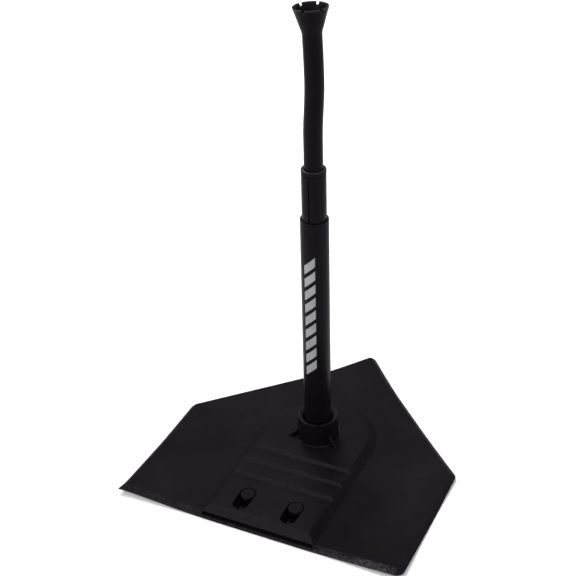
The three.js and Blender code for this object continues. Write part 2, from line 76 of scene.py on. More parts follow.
# ---------- dimensions ----------
PLATE_CORNERS = {
    # corner: radius of its rounding at the floor
    "front_left": 1.6 * MM,
    "front_right": 10.4 * MM,
    "side_right": 10.4 * MM,
    "rear_point": 10.4 * MM,
    "side_left": 10.4 * MM,
}
PLATE_LIP = 0.6 * MM
PLATE_BEVEL = 7.4 * MM
PLATE_SIDE = 218.8 * MM
PLATE_TOP_MARGIN = 2.5 * MM  # from the bevel's top to the first ring of the flat top's mesh
PLATE_MESH_RINGS = 30
CHANNEL_FLOOR = 3.6 * MM
CHANNEL_HALF_WIDTH = 85.5 * MM
CHANNEL_RUNOUT = 5 * MM  # the channel is open at the plate's front edge
BOSS_RADIUS = 7.5 * MM
SCREW_RECESS_RADIUS = 5.8 * MM
SCREW_RECESS_DEPTH = 3.2 * MM
SCREW_HOLE_RADIUS = 2.8 * MM

# The corners of a rubber mat lift a little off the floor: how high, and how far in the lift reaches.
CURLS = (
    ("front_left", 7.5 * MM, 140 * MM),
    ("front_right", 5.4 * MM, 140 * MM),
    ("side_right", 4.0 * MM, 110 * MM),
    ("rear_point", 11.0 * MM, 96 * MM),
)
CURL_POWER = 1.3
TIP_PULL = (-2.4 * MM, -1.8 * MM)
TIP_REACH = 16 * MM
TIP_POWER = 1.5

# How scuffed the plate's bevels are, from 0 to 1.
FRONT_WEAR = 0.16
RIGHT_CORNER_WEAR = 1
SIDE_WEAR = 0.15
RIGHT_SIDE_WEAR = 0.03
CORNER_CLEAN_SHARE = 0.6  # how much cleaner the rounded front right corner itself is

COVER_FOOT_HALF_WIDTH = (COVER_HIGH.x - COVER_LOW.x) / 2
COVER_BEVEL = 11.6 * MM
COVER_LIP = 0.4 * MM
COVER_EDGE = 0.5 * MM
RELIEF_HEIGHT = 1.3 * MM  # the cover is cut away underneath along its front
RELIEF_FLAT = 7 * MM
RELIEF_END = 12 * MM
RELIEF_RUNOUT = 1 * MM
RELIEF_SIDE_GAP = 0.3 * MM
RIB_COUNT = 3
RIB_FRONT_Y = FRONT_Y + 91.6 * MM
RIB_PITCH = 31.8 * MM
RIB_DROP = 3.8 * MM
RIB_FACE_RUN = 3.2 * MM
RIB_RAMP_RUN = RIB_PITCH - RIB_FACE_RUN
FIRST_RAMP_RUN = 21 * MM
RIB_HALF_LENGTH = 0.2  # past both sides of the cover

PEG_X = 37 * MM
PEG_Y = FRONT_Y + 54.9 * MM
PEG_RADIUS = 10.5 * MM
PEG_EDGE = 1 * MM
PEG_RIM_WIDTH = 2.2 * MM
PEG_DISH_DEPTH = 0.3 * MM
PEG_DISH_RADIUS = PEG_RADIUS - PEG_RIM_WIDTH - PEG_DISH_DEPTH
PEG_MARK_HALF_LENGTH = 2.6 * MM
PEG_MARK_HALF_WIDTH = 0.5 * MM
PEG_MARK_ROUNDING = 0.45 * MM
PEG_MARK_TURN = math.radians(18)
SLIDE_TRAVEL = 23.5 * MM
COVER_SLOT_RADIUS = 11.7 * MM
CARRIER_SLOT_RADIUS = 7.8 * MM

COLLAR_TOP_RADIUS = 28.6 * MM
COLLAR_FOOT_RADIUS = 30.6 * MM
COLLAR_FOOT_ROUNDING = 4 * MM
COLLAR_EDGE = 0.45 * MM
HOLE_RADIUS = COLLAR_FOOT_RADIUS + 1 * MM  # of the hole in the cover round the collar
HOLE_LIP_WIDTH = 1.3 * MM
HOLE_LIP_HEIGHT = 0.5 * MM
MOUTH_RIM_RADIUS = 27.4 * MM
MOUTH_THROAT_RADIUS = 22.3 * MM
MOUTH_CONE_DEPTH = 2.7 * MM
MOUTH_DEPTH = 9 * MM
RIM_NICK_ANGLE = -63
RIM_NICK_HALF_WIDTH = 1.7 * MM
RIM_NICK_DEPTH = 1.7 * MM
SOCKET_RADIUS = 20.1 * MM
SOCKET_FLOOR = 6 * MM
CARRIER_PLATE_TOP = 7.9 * MM
GUSSET_ANGLES = (90, 210, 330)
GUSSET_THICKNESS = 3.6 * MM
GUSSET_REACH = 43.5 * MM
GUSSET_HEIGHT = 31.5 * MM
GUSSET_ROOT = 3 * MM  # how far the gussets and the flange reach into the collar
GUSSET_HOLE_GAP = 0.9 * MM
GUSSET_FOOT = CARRIER_PLATE_TOP - 1 * MM  # the gussets' undersides, inside the flange
CARRIER_HALF_WIDTH = 83.5 * MM
CARRIER_SHOULDER_Y = MAST_Y - 38 * MM
CARRIER_ARCH_RADIUS = 60 * MM

TUBE_RADIUS = (TUBE_HIGH.x - TUBE_LOW.x) / 2
TUBE_BORE = 17.4 * MM
SLEEVE_RADIUS = (SLEEVE_HIGH.x - SLEEVE_LOW.x) / 2
SLEEVE_BORE = 14.7 * MM
SLIT_WIDTH = 1.4 * MM
SLIT_REACH = 20 * MM  # from the mast's axis to in front of the sleeve
CAP_RADIUS = (CAP_HIGH.x - CAP_LOW.x) / 2
CAP_HEIGHT = 7 * MM
CAP_BORE = 13.2 * MM
CAP_SKIRT_RADIUS = 14.4 * MM
CAP_GROOVE_RADIUS = CAP_RADIUS - 1.4 * MM
CAP_BASE_GROOVE_RADIUS = CAP_RADIUS - 1 * MM

MARK_BARS = 9
MARK_LOW = 146 * MM
MARK_HIGH = 331 * MM
MARK_GAP = 7 * MM
MARK_SLANT = 16 * MM
MARK_HALF_WIDTH = 8.2 * MM
MARK_HEADING = math.radians(-90)
MARK_COLUMNS = 14
MARK_PROUD = 0.12 * MM
MARK_ROOT = 0.2 * MM

STEM_RADIUS = (STEM_HIGH.x - STEM_LOW.x) / 2
STEM_BORE = 8.5 * MM
STEM_MESH_ROWS = 60
STEM_FOOT_EDGE = 0.4 * MM
BORE_ROWS_DROP = 8 * MM  # the bore's mesh rows begin about this far below the cup's foot

TIP_LENGTH = 106.7 * MM
BEND_START = -5 * MM
BEND_LENGTH = 65 * MM
BEND_ANGLE = math.radians(5.96)
BEND_HEADING = math.radians(137.3)
CUP_WALL = 3 * MM
CUP_PROFILE = (
    # distance below the rim and outer radius, in millimetres
    (38, 12.9),
    (35, 12.95),
    (31, 13.5),
    (24, 15.9),
    (16.5, 18.2),
    (10.5, 20.0),
    (5.5, 21.6),
    (2.6, 22.6),
    (1.0, 23.1),
)
CUP_LIP_RADIUS = 23.3 * MM
CUP_SEAT_DEPTH = 28  # in millimetres below the rim, like the profile
CUP_SEAT_MARGIN = 2
# Painted light in the cup: its inside is lightened, most of all towards this heading at the rear, whose inner
# face turns to the front; the band along the rim is lightened by rubbing and a painted highlight.
CUP_PAINTED_LIGHT_HEADING = math.radians(112)
CUP_RIM_BAND_DEPTH = 1.3 * MM
CUP_INSIDE_PAINTED_LIGHT = 0.1
CUP_REAR_PAINTED_LIGHT = 0.5
CUP_SKIN = 1.2 * MM  # what is this far inside the cup's outer surface counts as its inside
PETAL_COUNT = 6
PETAL_FIRST_NOTCH = 30  # its heading in degrees
NOTCH_WIDTH = 4.2 * MM
NOTCH_DEPTH = 3.9 * MM

# The stem leans a little above the sleeve, from LEAN_LOW up.
LEAN = 2.8 * MM
LEAN_HEADING = math.radians(24.65)
LEAN_LOW = 0.512
LEAN_HIGH = 0.585

SHARP_DEGREES = 32
BLACK_TINT = (1.0, 0.89, 1.0, 1)


# ---------- mesh helpers ----------
def new_object(name, verts, faces, material=None):
    """A mesh object with smooth faces, and sharp edges where they meet at a steep angle."""
    mesh = bpy.data.meshes.new(name)
    mesh.from_pydata([tuple(v) for v in verts], [], faces)
    mesh.validate()
    obj = bpy.data.objects.new(name, mesh)
    bpy.context.scene.collection.objects.link(obj)
    if material:
        mesh.materials.append(material)
    shade(obj)
    return obj


def shade(obj, sharp_degrees=SHARP_DEGREES):
    obj.data.shade_smooth()
    obj.data.set_sharp_from_angle(angle=math.radians(sharp_degrees))
    obj.data.update()


def filleted(corners, steps=4):
    """An outline whose corners, given as (x, y, radius), are rounded off."""
    outline = []
    for i, (x, y, radius) in enumerate(corners):
        corner = Vector((x, y))
        if radius == 0:
            outline.append((x, y))
            continue
        back = (Vector(corners[i - 1][:2]) - corner).normalized()
        ahead = (Vector(corners[(i + 1) % len(corners)][:2]) - corner).normalized()
        half = back.angle(ahead) / 2
        centre = corner + (back + ahead).normalized() * (radius / math.sin(half))
        start = corner + back * (radius / math.tan(half)) - centre
        end = corner + ahead * (radius / math.tan(half)) - centre
        sweep = math.atan2(start.x * end.y - start.y * end.x, start.dot(end))
        for step in range(steps + 1):
            angle = sweep * step / steps
            turn = Matrix.Rotation(angle, 2)
            outline.append(tuple(centre + turn @ start))
    return outline


def turned(name, outline, material, segments=96, centre=(MAST_X, MAST_Y), closed=True):
    """Revolves an outline of (radius, height) points about an upright line.

    A point on the line becomes one vertex. A closed outline's last point joins its first.
    """
    verts = []
    rings = []
    for radius, height in outline:
        if radius == 0:
            rings.append([len(verts)] * segments)
            verts.append((centre[0], centre[1], height))
            continue
        rings.append(list(range(len(verts), len(verts) + segments)))
        for k in range(segments):
            angle = 2 * math.pi * k / segments
            x = centre[0] + radius * math.cos(angle)
            y = centre[1] + radius * math.sin(angle)
            verts.append((x, y, height))
    faces = []
    pairs = list(zip(rings, rings[1:]))
    if closed:
        pairs.append((rings[-1], rings[0]))
    for low, high in pairs:
        for k in range(segments):
            j = (k + 1) % segments
            corners = [low[k], low[j], high[j], high[k]]
            unique = list(dict.fromkeys(corners))
            if len(unique) > 2:
                faces.append(unique)
    return new_object(name, verts, faces, material)


def stretched_faces(count):
    """The faces between an outline of that many points and its moved copy, and both ends."""
    faces = [list(range(count))[::-1], list(range(count, 2 * count))]
    for k in range(count):
        j = (k + 1) % count
        faces.append([k, j, count + j, count + k])
    return faces


def prism(name, outline, low, high):
    """An outline in plan, stretched between two heights."""
    verts = [(x, y, low) for x, y in outline] + [(x, y, high) for x, y in outline]
    return new_object(name, verts, stretched_faces(len(outline)))


def bar_along_x(name, section, half_length):
    """A (y, z) section stretched along X."""
    verts = [(-half_length, y, z) for y, z in section] + [(half_length, y, z) for y, z in section]
    return new_object(name, verts, stretched_faces(len(section)))


def radial_block(name, degrees, reach, half_width, height):
    """A block from the mast's axis outwards at the given angle, from -height to height."""
    along = Vector((math.cos(math.radians(degrees)), math.sin(math.radians(degrees))))
    across = Vector((-along.y, along.x)) * half_width
    mast = Vector((MAST_X, MAST_Y))
    corners = (mast - across, mast + along * reach - across, mast + along * reach + across, mast + across)
    return prism(name, [tuple(c) for c in corners], -height, height)


def arc(centre, radius, start, end, steps):
    """Points along an arc, in degrees."""
    points = []
    for step in range(steps + 1):
        angle = math.radians(start + (end - start) * step / steps)
        points.append((centre[0] + radius * math.cos(angle), centre[1] + radius * math.sin(angle)))
    return points


def slot_outline(x, radius):
    """A slot in the cover or the carrier, as long as the slide over the pegs."""
    steps = 20
    rear = arc((x, PEG_Y), radius, 0, 180, steps)
    return rear + arc((x, PEG_Y - SLIDE_TRAVEL), radius, 180, 360, steps)


def circle_outline(x, y, radius, steps=48):
    return arc((x, y), radius, 0, 360, steps)[:-1]


def arch_outline(half_width, front_y, steps=48):
    """Square at the front and half round behind the mast."""
    front = [(-half_width, front_y), (half_width, front_y)]
    return front + arc((MAST_X, MAST_Y), half_width, 0, 180, steps)


def apply_modifiers(obj):
    graph = bpy.context.evaluated_depsgraph_get()
    mesh = bpy.data.meshes.new_from_object(obj.evaluated_get(graph))
    obj.modifiers.clear()
    obj.data = mesh


def combine(obj, tool, operation):
    """Cuts or joins obj with a tool object, and throws the tool away."""
    modifier = obj.modifiers.new("combine", "BOOLEAN")
    modifier.operation = operation
    modifier.solver = "EXACT"
    modifier.object = tool
    bpy.context.view_layer.update()
    apply_modifiers(obj)
    bpy.data.objects.remove(tool)


def cut(obj, tool):
    combine(obj, tool, "DIFFERENCE")


def soften(obj, width, steps=3, angle=28):
    """Rounds off the edges whose faces meet at more than the angle."""
    modifier = obj.modifiers.new("soften", "BEVEL")
    modifier.width = width
    modifier.segments = steps
    modifier.limit_method = "ANGLE"
    modifier.angle_limit = math.radians(angle)
    modifier.harden_normals = True
    modifier.use_clamp_overlap = True
    apply_modifiers(obj)


def steady(obj, sharp_degrees=40):
    """Smooth shading that keeps large faces flat: only the rounded edges between them shade off."""
    shade(obj, sharp_degrees)
    modifier = obj.modifiers.new("steady", "WEIGHTED_NORMAL")
    modifier.weight = 100
    modifier.keep_sharp = True
    apply_modifiers(obj)


def smoothstep(low, high, value):
    """Rises softly from 0 at low to 1 at high. It falls if high is the smaller."""
    t = min(max((value - low) / (high - low), 0), 1)
    return t * t * (3 - 2 * t)


# ---------- materials ----------
class Nodes:
    """A short way to write a material's node tree."""

    def __init__(self, name):
        self.material = bpy.data.materials.new(name)
        self.material.use_nodes = True
        self.tree = self.material.node_tree
        self.shader = self.tree.nodes["Principled BSDF"]
        self.place = self.add("ShaderNodeTexCoord").outputs["Object"]

    def add(self, kind, **settings):
        node = self.tree.nodes.new(kind)
        for key, value in settings.items():
            setattr(node, key, value)
        return node

    def link(self, source, target):
        self.tree.links.new(source, target)

    def noise(self, scale, detail=3, roughness=0.5, place=None, distortion=0):
        node = self.add("ShaderNodeTexNoise")
        node.inputs["Scale"].default_value = scale
        node.inputs["Detail"].default_value = detail
        node.inputs["Roughness"].default_value = roughness
        node.inputs["Distortion"].default_value = distortion
        self.link(place or self.place, node.inputs["Vector"])
        return node.outputs["Fac"]

    def stretched(self, scale):
        node = self.add("ShaderNodeMapping")
        node.inputs["Scale"].default_value = scale
        self.link(self.place, node.inputs["Vector"])
        return node.outputs["Vector"]

    def remap(self, value, low, high, to_low=0, to_high=1):
        node = self.add("ShaderNodeMapRange")
        node.inputs["From Min"].default_value = low
        node.inputs["From Max"].default_value = high
        node.inputs["To Min"].default_value = to_low
        node.inputs["To Max"].default_value = to_high
        self.link(value, node.inputs["Value"])
        return node.outputs["Result"]

    def maths(self, operation, a, b):
        node = self.add("ShaderNodeMath", operation=operation)
        for socket, value in zip(node.inputs, (a, b)):
            if isinstance(value, (int, float)):
                socket.default_value = value
            else:
                self.link(value, socket)
        return node.outputs["Value"]

    def mix(self, factor, first, second):
        node = self.add("ShaderNodeMix", data_type="RGBA")
        self.link(factor, node.inputs["Factor"])
        for socket, value in ((node.inputs["A"], first), (node.inputs["B"], second)):
            if isinstance(value, tuple):
                socket.default_value = value
            else:
                self.link(value, socket)
        return node.outputs["Result"]

    def parts(self, vector):
        node = self.add("ShaderNodeSeparateXYZ")
        self.link(vector, node.inputs["Vector"])
        return node.outputs

    def rounded_edge(self, front_only):
        """1 on the rounding between an upward face and a slope or a wall, 0 on either of them."""
        normal = self.parts(self.add("ShaderNodeNewGeometry").outputs["Normal"])
        above_slope = self.remap(normal["Z"], 0.8, 0.86)
        below_flat = self.remap(normal["Z"], 0.985, 0.95)
        edge = self.maths("MULTIPLY", above_slope, below_flat)
        if front_only:
            edge = self.maths("MULTIPLY", edge, self.remap(normal["Y"], -0.04, -0.2))
        return edge

    def front_slope(self):
        """1 on slopes that face the front, where painted light goes."""
        normal = self.parts(self.add("ShaderNodeNewGeometry").outputs["Normal"])
        forward = self.remap(normal["Y"], -0.4, -0.58)
        return self.maths("MULTIPLY", forward, self.remap(normal["Z"], 0.3, 0.45))

    def rib_face(self):
        """1 on the steep short faces of the ribs, where painted light goes."""
        normal = self.parts(self.add("ShaderNodeNewGeometry").outputs["Normal"])
        return self.remap(normal["Y"], -0.58, -0.68)

    def wall(self):
        """1 on upright walls, which painted shade darkens."""
        normal = self.parts(self.add("ShaderNodeNewGeometry").outputs["Normal"])
        return self.remap(self.maths("ABSOLUTE", normal["Z"], 0), 0.4, 0.2)

    def radius(self):
        """Distance from the mast's axis."""
        place = self.parts(self.place)
        x = self.maths("SUBTRACT", place["X"], MAST_X)
        y = self.maths("SUBTRACT", place["Y"], MAST_Y)
        squares = self.maths("ADD", self.maths("MULTIPLY", x, x), self.maths("MULTIPLY", y, y))
        return self.maths("POWER", squares, 0.5)

    def hole_rim_highlight(self):
        """1 on the thin raised line round the collar's hole in the cover, where a painted highlight goes."""
        height = self.parts(self.place)["Z"]
        outer = self.remap(self.radius(), HOLE_RADIUS + 1.5 * MM, HOLE_RADIUS + 1.0 * MM)
        return self.maths("MULTIPLY", outer, self.remap(height, COVER_TOP - 1.2 * MM, COVER_TOP - 0.3 * MM))

    def channel(self):
        """1 on the floor of the plate's channel, which painted shade darkens."""
        place = self.parts(self.place)
        across = self.maths("ABSOLUTE", place["X"], 0)
        inside = self.maths("LESS_THAN", across, CHANNEL_HALF_WIDTH - 0.1 * MM)
        deep = self.maths("LESS_THAN", place["Z"], PLATE_TOP - 0.3 * MM)
        above = self.maths("GREATER_THAN", place["Z"], CHANNEL_FLOOR - 0.08 * MM)
        return self.maths("MULTIPLY", self.maths("MULTIPLY", inside, deep), above)

    def attribute(self, name):
        node = self.add("ShaderNodeAttribute", attribute_name=name)
        return node.outputs["Fac"]

    def bump(self, height, distance, strength=1.0, below=None):
        node = self.add("ShaderNodeBump")
        node.inputs["Distance"].default_value = distance
        node.inputs["Strength"].default_value = strength
        self.link(height, node.inputs["Height"])
        if below:
            self.link(below, node.inputs["Normal"])
        return node.outputs["Normal"]

    def finish(self, color, roughness, normal, specular, tint=(1, 1, 1, 1)):
        self.link(color, self.shader.inputs["Base Color"])
        self.link(roughness, self.shader.inputs["Roughness"])
        self.link(normal, self.shader.inputs["Normal"])
        self.shader.inputs["Specular IOR Level"].default_value = specular
        self.shader.inputs["Specular Tint"].default_value = tint
        return self.material


def grey(value, warmth=0.0):
    """A near-neutral black or grey, a touch towards violet, or towards red by the warmth."""
    return (value * (1.08 + warmth), value * 0.92, value * 1.13, 1)


def moulded_rubber(
    name, value, roughness, specular, mottle=0.3, edge=0.8, scuff=False, fronts=False, cup=False
):
    """Matt moulded rubber with dusty smudges, a fine grain and lightened edges (rubbing and painted
    highlight).

    value: its linear grey. mottle: how much the smudges vary it. edge: how much its edges are lightened.
    scuff: the plate's whitish scuffs, where the wear attribute says, and painted shade on its channel's
    floor.
    fronts: painted light on the cover's front-facing slopes and rib faces, painted highlights on its front
    edges and round the collar's hole, and painted shade on its upright walls. cup: the ball cup's
    lightening where the wear attribute says: rubbing and painted light.
    """
    n = Nodes(name)
    cloud = n.noise(9, detail=4, roughness=0.6, distortion=0.6)
    smudge = n.noise(38, detail=5, roughness=0.62)
    patches = n.maths("ADD", n.remap(cloud, 0.3, 0.7, 0, 0.65), n.remap(smudge, 0.35, 0.7, 0, 0.35))
    color = n.mix(patches, grey(value * (1 - mottle)), grey(value * (1 + mottle)))
    speck = n.noise(1500, detail=2)
    dust = n.maths("MULTIPLY", n.remap(speck, 0.6, 0.75), n.remap(smudge, 0.45, 0.7))
    color = n.mix(n.maths("MULTIPLY", dust, 0.35), color, grey(value * 2.4))
    patchy_noise = n.noise(240, detail=5, roughness=0.7)
    # Edges are lightened partly by rubbing and partly as a painted highlight on their rounding; on the cover
    # only the front edges and rib crests, and brightest there.
    edge_wear_and_highlight = n.maths("MULTIPLY", n.rounded_edge(fronts), n.remap(patchy_noise, 0.35, 0.6, 0.3, 1))
    edge_grey = 0.12 if fronts else 0.025
    if fronts:
        # Painted light: the cover's front-facing slopes are lighter, as if the front light falls on them, and
        # its rib faces lighter still, broken up by noise.
        wear_and_painted_light = n.maths("MULTIPLY", n.front_slope(), n.remap(patchy_noise, 0.3, 0.65, 0.45, 1))
        color = n.mix(wear_and_painted_light, color, grey(value * 1.9))
        color = n.mix(n.maths("MULTIPLY", n.rib_face(), wear_and_painted_light), color, grey(value * 3))
        # Painted shade: upright walls, such as the slots' walls and the pegs' sides, a little darker.
        color = n.mix(n.wall(), color, grey(value * 0.9))
        # Painted highlight: a lighter line round the collar's hole, broken up by noise.
        rim = n.maths("MULTIPLY", n.hole_rim_highlight(), n.remap(patchy_noise, 0.3, 0.6, 0.4, 1))
        color = n.mix(rim, color, grey(0.022))
    color = n.mix(n.maths("MULTIPLY", edge_wear_and_highlight, edge), color, grey(edge_grey))
    rough = n.remap(smudge, 0.3, 0.7, roughness - 0.06, roughness + 0.06)
    if scuff:
        wear = n.attribute("wear")
        rub = n.noise(420, detail=6, roughness=0.72)
        streak = n.noise(70, detail=4, roughness=0.6)
        band = n.maths("MULTIPLY", n.remap(rub, 0.42, 0.62), n.remap(streak, 0.35, 0.6, 0.35, 1))
        wear_and_painted_light = n.maths("MULTIPLY", band, wear)
        color = n.mix(n.maths("MULTIPLY", wear_and_painted_light, 0.9), color, grey(0.16, 0.01))
        rough = n.maths("ADD", rough, n.maths("MULTIPLY", wear_and_painted_light, 0.15))
        # Painted shade: the channel's floor, under the cover and seen through its slots, a little darker.
        color = n.mix(n.channel(), color, grey(0.0048))
    if cup:
        # The cup's lightening: rubbing and a painted highlight on the rim, painted light inside.
        wear_and_painted_light = n.maths("MULTIPLY", n.attribute("wear"), n.remap(patchy_noise, 0.3, 0.6, 0.6, 1))
        color = n.mix(wear_and_painted_light, color, grey(0.017))
    grain = n.noise(2600, detail=3, roughness=0.6)
    swell = n.noise(60, detail=3)
    normal = n.bump(swell, 0.5 * MM, 0.25)
    normal = n.bump(grain, 0.12 * MM, 0.5, below=normal)
    return n.finish(color, rough, normal, specular, BLACK_TINT)


def black_plastic(name, value, roughness, specular, edge=0.5, collar=False):
    """Extruded or moulded black plastic with faint lengthwise draw lines, smudges and specks of dust.

    value: its linear grey. edge: how much its edges are lightened, partly as rubbing and partly as a painted
    highlight. collar: this is strongest on the collar's outer rim, and faint inside it and beyond the
    gussets.
    """
    n = Nodes(name)
    smudge = n.noise(45, detail=4, roughness=0.6)
    lines = n.noise(1100, detail=3, place=n.stretched((1, 1, 0.02)))
    color = n.mix(n.remap(smudge, 0.3, 0.7), grey(value * 0.85), grey(value * 1.15))
    dust = n.noise(900, detail=4, roughness=0.7)
    color = n.mix(n.maths("MULTIPLY", n.remap(dust, 0.62, 0.8), 0.3), color, grey(value * 2.6))
    # Edges are lightened partly by rubbing and partly as a painted highlight; on the collar most of all along
    # its outer rim.
    edge_wear_and_highlight = n.maths("MULTIPLY", n.rounded_edge(False), n.remap(dust, 0.3, 0.5, 0.5, 1))
    if collar:
        rim = MOUTH_RIM_RADIUS
        outer = n.remap(n.radius(), rim - 0.4 * MM, rim + 0.1 * MM, 0.22, 1)
        near = n.remap(n.radius(), GUSSET_REACH + 3 * MM, GUSSET_REACH + 1 * MM, 0.1, 1)
        edge_wear_and_highlight = n.maths("MULTIPLY", edge_wear_and_highlight, n.maths("MULTIPLY", outer, near))
    edge_grey = 0.045 if collar else 0.03
    color = n.mix(n.maths("MULTIPLY", edge_wear_and_highlight, edge), color, grey(edge_grey))
    rough = n.remap(smudge, 0.3, 0.7, roughness - 0.05, roughness + 0.05)
    rough = n.maths("ADD", rough, n.remap(lines, 0.3, 0.7, -0.03, 0.03))
    normal = n.bump(lines, 0.05 * MM, 0.35)
    normal = n.bump(n.noise(3000, detail=2), 0.04 * MM, 0.3, below=normal)
    return n.finish(color, rough, normal, specular, BLACK_TINT)


def plated_steel():
    """Brushed zinc plating, for the screws and washers."""
    n = Nodes("zinc_steel")
    brush = n.noise(1800, detail=3, place=n.stretched((1, 1, 0.1)))
    patches = n.noise(300, detail=3)
    color = n.mix(n.remap(patches, 0.3, 0.7), (0.5, 0.5, 0.49, 1), (0.66, 0.66, 0.64, 1))
    rough = n.remap(brush, 0.3, 0.7, 0.26, 0.42)
    n.shader.inputs["Metallic"].default_value = 1
    return n.finish(color, rough, n.bump(brush, 0.03 * MM, 0.4), 0.5)


def silver_paint():
    """Thin pad-printed paint, a little worn through in specks."""
    n = Nodes("silver_paint")
    wear = n.noise(700, detail=5, roughness=0.7)
    cloud = n.noise(60, detail=3)
    color = n.mix(n.remap(cloud, 0.3, 0.7), (0.215, 0.215, 0.225, 1), (0.275, 0.275, 0.285, 1))
    color = n.mix(n.remap(wear, 0.66, 0.74), color, grey(0.05))
    rough = n.remap(cloud, 0.3, 0.7, 0.42, 0.55)
    return n.finish(color, rough, n.bump(wear, 0.02 * MM, 0.4), 0.3)


def floor_paint():
    """The studio's plain pale floor."""
    n = Nodes("studio_floor")
    cloud = n.noise(3, detail=2)
    color = n.mix(cloud, (0.86, 0.86, 0.86, 1), (0.88, 0.88, 0.88, 1))
    rough = n.remap(cloud, 0.3, 0.7, 0.85, 0.95)
    return n.finish(color, rough, n.bump(cloud, 0.1 * MM, 0.1), 0.1)


# name, linear grey, roughness, specular level
PLATE_RUBBER = moulded_rubber("plate_rubber", 0.0051, 0.64, 0.027, mottle=0.6, edge=0.35, scuff=True)
COVER_RUBBER = moulded_rubber("cover_rubber", 0.0049, 0.6, 0.0255, mottle=0.45, edge=1, fronts=True)
PEG_RUBBER = moulded_rubber("peg_rubber", 0.0049, 0.6, 0.0255, mottle=0.45, edge=0.12, fronts=True)
STEM_RUBBER = moulded_rubber("stem_rubber", 0.0032, 0.42, 0.042, cup=True)
SOCKET_PLASTIC = black_plastic("socket_plastic", 0.0036, 0.42, 0.035, edge=0.9, collar=True)
TUBE_PLASTIC = black_plastic("tube_plastic", 0.0036, 0.33, 0.05)
SLEEVE_PLASTIC = black_plastic("sleeve_plastic", 0.0036, 0.32, 0.048, edge=0.9)
ZINC_STEEL = plated_steel()
SILVER_PAINT = silver_paint()


# ---------- home plate ----------
def plate_corners():
    """The five corners before they are rounded."""
    half = (PLATE_HIGH.x - PLATE_LOW.x) / 2
    point_depth = PLATE_SIDE + half
    return {
        "front_left": Vector((-half, FRONT_Y)),
        "front_right": Vector((half, FRONT_Y)),
        "side_right": Vector((half, FRONT_Y + PLATE_SIDE)),
        "rear_point": Vector((0, FRONT_Y + point_depth)),
        "side_left": Vector((-half, FRONT_Y + PLATE_SIDE)),
    }


def plate_outline(inset, corner_steps=6, edge_steps=26):
    """The plate's outline moved inwards, with the same number of points at any inset."""
    names = list(PLATE_CORNERS)
    corners = list(plate_corners().values())
    arcs = []
    for i, corner in enumerate(corners):
        back = (corners[i - 1] - corner).normalized()
        ahead = (corners[(i + 1) % len(corners)] - corner).normalized()
        half = back.angle(ahead) / 2
        radius = max(PLATE_CORNERS[names[i]] - inset, 0.3 * MM)
        centre = corner + (back + ahead).normalized() * ((inset + radius) / math.sin(half))
        start = math.degrees(math.atan2(back.x, -back.y))
        end = math.degrees(math.atan2(-ahead.x, ahead.y))
        if end < start:
            end += 360
        arcs.append(arc(centre, radius, start, end, corner_steps))
    outline = []
    for i, points in enumerate(arcs):
        outline += points
        last = Vector(points[-1])
        following = Vector(arcs[(i + 1) % len(arcs)][0])
        for step in range(1, edge_steps):
            outline.append(tuple(last.lerp(following, step / edge_steps)))
    return outline


def plate_curl(x, y):
    """How far a point of the plate is lifted by its curled corners."""
    corners = plate_corners()
    lift = 0
    for name, height, reach in CURLS:
        distance = (Vector((x, y)) - corners[name]).length
        lift += height * max(0, 1 - distance / reach) ** CURL_POWER
    return lift


def corner_tip(x, y):
    """The front left corner is drawn out to a thin point."""
    distance = (Vector((x, y)) - plate_corners()["front_left"]).length
    return Vector(TIP_PULL) * max(0, 1 - distance / TIP_REACH) ** TIP_POWER


def plate_wear(x, y, z):
    """How scuffed the plate is: along its bevels, most of all at the front right corner."""
    if z > PLATE_TOP - 0.15 * MM:
        return 0
    front = smoothstep(FRONT_Y + 9 * MM, FRONT_Y + 5 * MM, y)
    right = smoothstep(-50 * MM, 216 * MM, x)
    right *= 1 - CORNER_CLEAN_SHARE * smoothstep(196 * MM, 208 * MM, x)
    front_wear = FRONT_WEAR + (RIGHT_CORNER_WEAR - FRONT_WEAR) * right**3
    side_wear = SIDE_WEAR if x < 0 or y > FRONT_Y + PLATE_SIDE else RIGHT_SIDE_WEAR
    return front * front_wear + (1 - front) * side_wear


